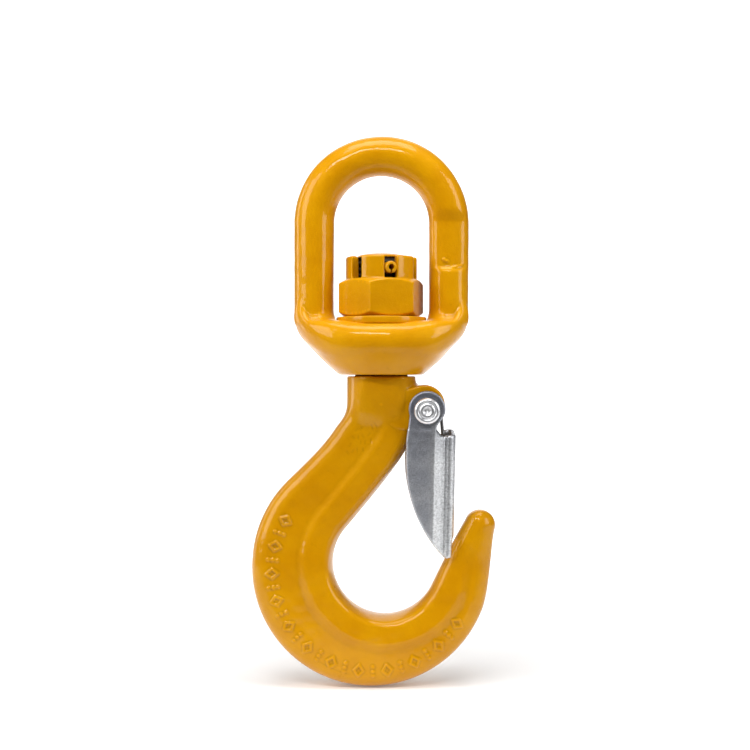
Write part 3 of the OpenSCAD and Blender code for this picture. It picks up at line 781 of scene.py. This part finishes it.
class Nodes:
    """Short calls for building one material's nodes."""

    def __init__(self, name, **shader):
        self.material = bpy.data.materials.new(name)
        self.material.use_nodes = True
        self.tree = self.material.node_tree
        self.shader = self.tree.nodes["Principled BSDF"]
        for key, value in shader.items():
            self.shader.inputs[key.replace("_", " ")].default_value = value
        self.place = self.add("ShaderNodeTexCoord").outputs["Object"]

    def add(self, kind, **values):
        node = self.tree.nodes.new(kind)
        for key, value in values.items():
            setattr(node, key, value)
        return node

    def link(self, out, socket):
        self.tree.links.new(out, socket)

    def noise(self, size, detail=4, rough=0.55, stretch=None):
        """Noise whose features are about size millimetres."""
        place = self.place
        if stretch:
            mapping = self.add("ShaderNodeMapping")
            mapping.inputs["Scale"].default_value = stretch
            self.link(place, mapping.inputs["Vector"])
            place = mapping.outputs["Vector"]
        node = self.add("ShaderNodeTexNoise")
        node.inputs["Scale"].default_value = 1 / (size * MM)
        node.inputs["Detail"].default_value = detail
        node.inputs["Roughness"].default_value = rough
        self.link(place, node.inputs["Vector"])
        return node.outputs["Fac"]

    def ramp(self, value, stops):
        node = self.add("ShaderNodeValToRGB")
        while len(node.color_ramp.elements) < len(stops):
            node.color_ramp.elements.new(0.5)
        for element, (place, colour) in zip(node.color_ramp.elements, stops):
            element.position = place
            element.color = colour if len(colour) == 4 else (*colour, 1)
        self.link(value, node.inputs["Fac"])
        return node.outputs["Color"]

    def grey(self, value, low, high, dark=0.0, light=1.0):
        return self.ramp(value, [(low, (dark,) * 3), (high, (light,) * 3)])

    def blend(self, share, a, b, kind="MIX"):
        node = self.add("ShaderNodeMix", data_type="RGBA", blend_type=kind)
        for value, socket in ((share, node.inputs[0]), (a, node.inputs[6]), (b, node.inputs[7])):
            if isinstance(value, (int, float)):
                socket.default_value = value
            elif isinstance(value, tuple):
                socket.default_value = (*value, 1)
            else:
                self.link(value, socket)
        return node.outputs[2]

    def bump(self, height, depth, before=None):
        """Adds a bump whose full height is depth millimetres."""
        node = self.add("ShaderNodeBump")
        node.inputs["Distance"].default_value = depth * MM
        self.link(height, node.inputs["Height"])
        if before:
            self.link(before, node.inputs["Normal"])
        return node.outputs["Normal"]

    def finish(self, colour=None, rough=None, normal=None, coat=None):
        for out, name in ((colour, "Base Color"), (rough, "Roughness"), (normal, "Normal"),
                          (coat, "Coat Normal")):
            if out:
                self.link(out, self.shader.inputs[name])
        return self.material


def enamel(name, deep, light, scuffs):
    """Thick gloss enamel over a forging: orange peel, pits, painted shade in the hollows and a
    painted highlight on the edges.
    """
    n = Nodes(name, Specular_IOR_Level=0.45, Specular_Tint=(1, 0.6, 0.03, 1), Coat_Weight=0.42,
              Coat_Roughness=0.06, Coat_IOR=1.5)
    cloud = n.grey(n.noise(14, 3), 0.35, 0.68)
    colour = n.blend(cloud, deep, light)
    speck = n.grey(n.noise(0.9, 5, 0.7), 0.30, 0.42, 0.84, 1.0)
    colour = n.blend(0.6, colour, speck, "MULTIPLY")
    point = n.add("ShaderNodeNewGeometry").outputs["Pointiness"]
    # Painted shade: the colour darkens where the surface is hollow, in creases and corners.
    hollow = n.grey(point, 0.455, 0.50, 0.55, 1.0)
    colour = n.blend(0.8, colour, hollow, "MULTIPLY")
    # Painted highlight: the colour turns paler and brighter on convex edges.
    edge = n.grey(point, 0.515, 0.58, 0.0, 0.45)
    colour = n.blend(edge, colour, tuple(min(1, c * 1.25) for c in light))
    rough = n.grey(n.noise(5, 5), 0.3, 0.75, 0.27, 0.27 + scuffs)
    peel = n.bump(n.noise(1.7, 2, 0.4), 0.07)
    pits = n.bump(n.grey(n.noise(0.6, 4, 0.65), 0.26, 0.5), 0.05, peel)
    coat = n.bump(n.noise(1.9, 2, 0.45), 0.06)
    return n.finish(colour, rough, pits, coat)


def zinc_plate():
    """Zinc on pressed sheet: grey-blue cloud, fine grain, painted light on the right-hand part,
    painted shade at the ears.
    """
    n = Nodes("zinc_plate", Metallic=1.0, Specular_IOR_Level=0.5)
    cloud = n.noise(11, 2, 0.5)
    colour = n.ramp(cloud, [(0.3, (0.58, 0.60, 0.66)), (0.52, (0.66, 0.68, 0.73)),
                            (0.72, (0.74, 0.75, 0.79))])
    grain = n.grey(n.noise(0.5, 5, 0.75), 0.35, 0.65, 0.55, 1.15)
    colour = n.blend(0.6, colour, grain, "MULTIPLY")
    split = n.add("ShaderNodeSeparateXYZ")
    n.link(n.place, split.inputs["Vector"])
    # Painted light: right of the pivot the sheet is blended towards pale grey, where its bend and
    # channel turn to the right-hand lamp. The same share also lays the sheet's real wrinkled mottle
    # on that part (below).
    right_part_mottle_and_light = n.add("ShaderNodeMapRange")
    right_part_mottle_and_light.interpolation_type = "SMOOTHSTEP"
    right_part_from, right_part_to = pivot[0] - 0.6, pivot[0] + 3.6
    right_part_mottle_and_light.inputs["From Min"].default_value = right_part_from * MM
    right_part_mottle_and_light.inputs["From Max"].default_value = right_part_to * MM
    n.link(split.outputs["X"], right_part_mottle_and_light.inputs["Value"])
    right_part_painted_light = n.blend(1.0, right_part_mottle_and_light.outputs["Result"], (0.6, 0.6, 0.6), "MULTIPLY")
    colour = n.blend(right_part_painted_light, colour, (0.88, 0.89, 0.88))
    # Painted shade: the sheet darkens towards its top, over the ears round the rivet.
    height = n.add("ShaderNodeMapRange")
    shade_from, shade_to = pivot[2] - 22, pivot[2] + 2
    height.inputs["From Min"].default_value = shade_from * MM
    height.inputs["From Max"].default_value = shade_to * MM
    n.link(split.outputs["Z"], height.inputs["Value"])
    ear_painted_shade = n.blend(1.0, colour, (0.42, 0.43, 0.48), "MULTIPLY")
    colour = n.blend(height.outputs["Result"], colour, ear_painted_shade)
    wrinkle = n.noise(1.1, 4, 0.6, (1, 1, 1.6))
    mottle = n.blend(1.0, right_part_mottle_and_light.outputs["Result"], (0.6, 0.6, 0.6), "MULTIPLY")
    colour = n.blend(mottle, colour, n.grey(wrinkle, 0.32, 0.62, 0.45, 1.15), "MULTIPLY")
    rough = n.grey(n.noise(2.5, 5), 0.3, 0.7, 0.40, 0.47)
    lines = n.bump(n.noise(0.5, 3, 0.6, (1, 1, 0.12)), 0.02)
    normal = n.bump(wrinkle, 0.09, lines)
    return n.finish(colour, rough, normal)


def turned_steel():
    """Bright plated steel with turning marks round the rivet's axis."""
    n = Nodes("turned_steel", Metallic=1.0)
    wave = n.add("ShaderNodeTexWave", wave_type="RINGS", rings_direction="Y")
    mapping = n.add("ShaderNodeMapping")
    mapping.inputs["Location"].default_value = (-pivot[0] * MM, 0, -pivot[2] * MM)
    n.link(n.place, mapping.inputs["Vector"])
    n.link(mapping.outputs["Vector"], wave.inputs["Vector"])
    wave.inputs["Scale"].default_value = 260
    wave.inputs["Distortion"].default_value = 1.5
    colour = n.ramp(n.noise(2.2, 5), [(0.3, (0.72, 0.73, 0.76)), (0.7, (0.93, 0.93, 0.94))])
    rough = n.grey(n.noise(1.2, 4), 0.3, 0.7, 0.30, 0.46)
    return n.finish(colour, rough, n.bump(wave.outputs["Fac"], 0.012))


def spring_steel():
    """Drawn wire: dark, with fine lines and a touch of oil."""
    n = Nodes("spring_wire_steel", Metallic=1.0)
    colour = n.ramp(n.noise(1.5, 5), [(0.3, (0.16, 0.16, 0.16)), (0.7, (0.36, 0.36, 0.37))])
    rough = n.grey(n.noise(0.8, 4), 0.3, 0.7, 0.22, 0.42)
    return n.finish(colour, rough, n.bump(n.noise(0.3, 3), 0.02))


def thread_painted_shade():
    """Near-black thread seen in the nut's slots: painted shade."""
    n = Nodes("thread_painted_shade", Specular_IOR_Level=0.3)
    colour = n.ramp(n.noise(1.5, 4), [(0.3, (0.012, 0.011, 0.012)), (0.7, (0.05, 0.042, 0.03))])
    rough = n.grey(n.noise(1, 3), 0.3, 0.7, 0.3, 0.5)
    return n.finish(colour, rough, n.bump(n.noise(0.6, 3), 0.03))


def wear(obj, material):
    obj.data.materials.clear()
    obj.data.materials.append(material)


# ---- The object ----------------------------------------------------------------------------------

def build_object():
    paint = enamel("yellow_enamel", (0.68, 0.285, 0.0005), (0.76, 0.345, 0.001), 0.12)
    # Painted shade: the hook wears a darker copy of the same enamel.
    hook_paint_painted_shade = enamel("yellow_enamel_hook_painted_shade", (0.56, 0.236, 0.0004), (0.63, 0.286, 0.0008), 0.12)
    # Painted shade: the nut, washer and roll pin wear a slightly darker copy of the same enamel, as
    # they sit between the legs.
    nut_paint_painted_shade = enamel("yellow_enamel_nut_painted_shade", (0.64, 0.27, 0.0005), (0.74, 0.34, 0.001), 0.18)

    bail = formed("bail_forging", bail_field, bail_low, bail_high, 0.55)
    wear(bail, paint)
    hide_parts("swivel_bail")
    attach(bail, "bail")

    washer = washer_piece()
    wear(washer, nut_paint_painted_shade)
    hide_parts("thrust_washer")
    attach(washer, "bail")

    hook = formed("hook_forging", hook_field, hook_low, hook_high, 0.5)
    wear(hook, hook_paint_painted_shade)
    hook.data.materials.append(thread_painted_shade())
    # Painted shade: the shank within the washer and nut takes the near-black thread material, seen
    # through the slots.
    for face in hook.data.polygons:
        place = face.center / MM
        if SEAT_Z < place.z < nut_high[2] - 0.5:
            face.material_index = 1
    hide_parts("hook_body")
    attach(hook, "hook")

    nut = formed("castle_nut_body", nut_field, nut_low, nut_high, 0.36)
    wear(nut, nut_paint_painted_shade)
    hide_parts("castle_nut")
    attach(nut, "hook")

    roll = formed("roll_pin_tube", roll_field, roll_low, roll_high, 0.22)
    wear(roll, nut_paint_painted_shade)
    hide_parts("nut_roll_pin")
    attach(roll, "hook")

    latch = formed("latch_pressing", latch_field, latch_low, latch_high, 0.36)
    wear(latch, zinc_plate())
    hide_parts("latch")
    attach(latch, "latch")

    rivet = rivet_piece()
    wear(rivet, turned_steel())
    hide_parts("latch_rivet")
    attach(rivet, "hook")

    spring, half_l = spring_piece()
    wear(spring, spring_steel())
    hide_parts("latch_spring")
    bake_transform(spring)


# ---- Studio --------------------------------------------------------------------------------------

def studio_floor():
    """A sweep, flat and then curved up behind the hook: white there, dark in front of it."""
    z, half, back, bend = cad_low[2] - 0.0002, 0.85, 1.6, 0.6
    line = [(-2.5, z), (back, z)]
    for a in np.radians(np.arange(-85, 1, 5)):
        line.append((back + bend * math.cos(a), z + bend + bend * math.sin(a)))
    line.append((back + bend, z + 3.0))
    points = [(x / MM, y / MM, h / MM) for y, h in line for x in (-half, half)]
    faces = [(2 * i, 2 * i + 1, 2 * i + 3, 2 * i + 2) for i in range(len(line) - 1)]
    floor = mesh_object("studio_floor", points, faces)
    n = Nodes("white_sweep", Roughness=0.9, Specular_IOR_Level=0.1, Emission_Strength=1.0)
    split = n.add("ShaderNodeSeparateXYZ")
    n.link(n.place, split.inputs["Vector"])
    depth = n.add("ShaderNodeMapRange")
    depth.inputs["From Min"].default_value = -1
    depth.inputs["From Max"].default_value = 1
    n.link(split.outputs["Y"], depth.inputs["Value"])
    glow = n.ramp(depth.outputs["Result"], [(0.39, (0.01,) * 3), (0.447, (0.15,) * 3),
                                            (0.56, (0.17,) * 3), (0.75, (0.95,) * 3)])
    n.link(glow, n.shader.inputs["Emission Color"])
    face = n.ramp(depth.outputs["Result"], [(0.39, (0.06,) * 3), (0.447, (0.85,) * 3)])
    grain = n.grey(n.noise(60, 2), 0.3, 0.7, 0.97, 1.0)
    wear(floor, n.finish(n.blend(1.0, face, grain, "MULTIPLY")))


def soft_light(name, place, size, power):
    """A rectangular light that faces the middle of the hook."""
    target = (0, 0, -0.1)
    data = bpy.data.lights.new(name, "AREA")
    data.shape = "RECTANGLE"
    data.size, data.size_y = size
    data.energy = power
    obj = bpy.data.objects.new(name, data)
    obj.location = place
    obj.rotation_euler = (Vector(target) - Vector(place)).to_track_quat("-Z", "Y").to_euler()
    bpy.context.scene.collection.objects.link(obj)


def studio_lights():
    soft_light("left_box", (-1.0, -0.50, 0.38), (0.6, 0.8), 7.6)
    soft_light("right_box", (1.0, -0.48, 0.34), (0.5, 0.8), 6.6)
    soft_light("top_box", (0.0, -0.15, 0.85), (0.7, 0.5), 6.0)
    soft_light("front_strip", (-0.15, -0.78, 0.62), (0.7, 0.12), 5.0)
    soft_light("left_edge", (-0.9, 0.35, 0.1), (0.2, 0.9), 2.0)
    world = bpy.data.worlds.new("dim_room")
    world.use_nodes = True
    background = world.node_tree.nodes["Background"]
    background.inputs["Color"].default_value = (1, 1, 1, 1)
    background.inputs["Strength"].default_value = 0.03
    bpy.context.scene.world = world
    bpy.context.scene.view_settings.view_transform = "Standard"


def studio_camera():
    """Level camera, 600 mm in front of the swivel axis, as high as the boss's foot."""
    data = bpy.data.cameras.new("camera")
    data.lens = 68.6
    data.sensor_width = 36
    camera = bpy.data.objects.new("camera", data)
    camera.location = (-0.00265, -0.6, -0.0836)
    camera.rotation_euler = (math.pi / 2, 0, 0)
    bpy.context.scene.collection.objects.link(camera)
    bpy.context.scene.camera = camera


studio_camera()
build_object()
studio_floor()
studio_lights()
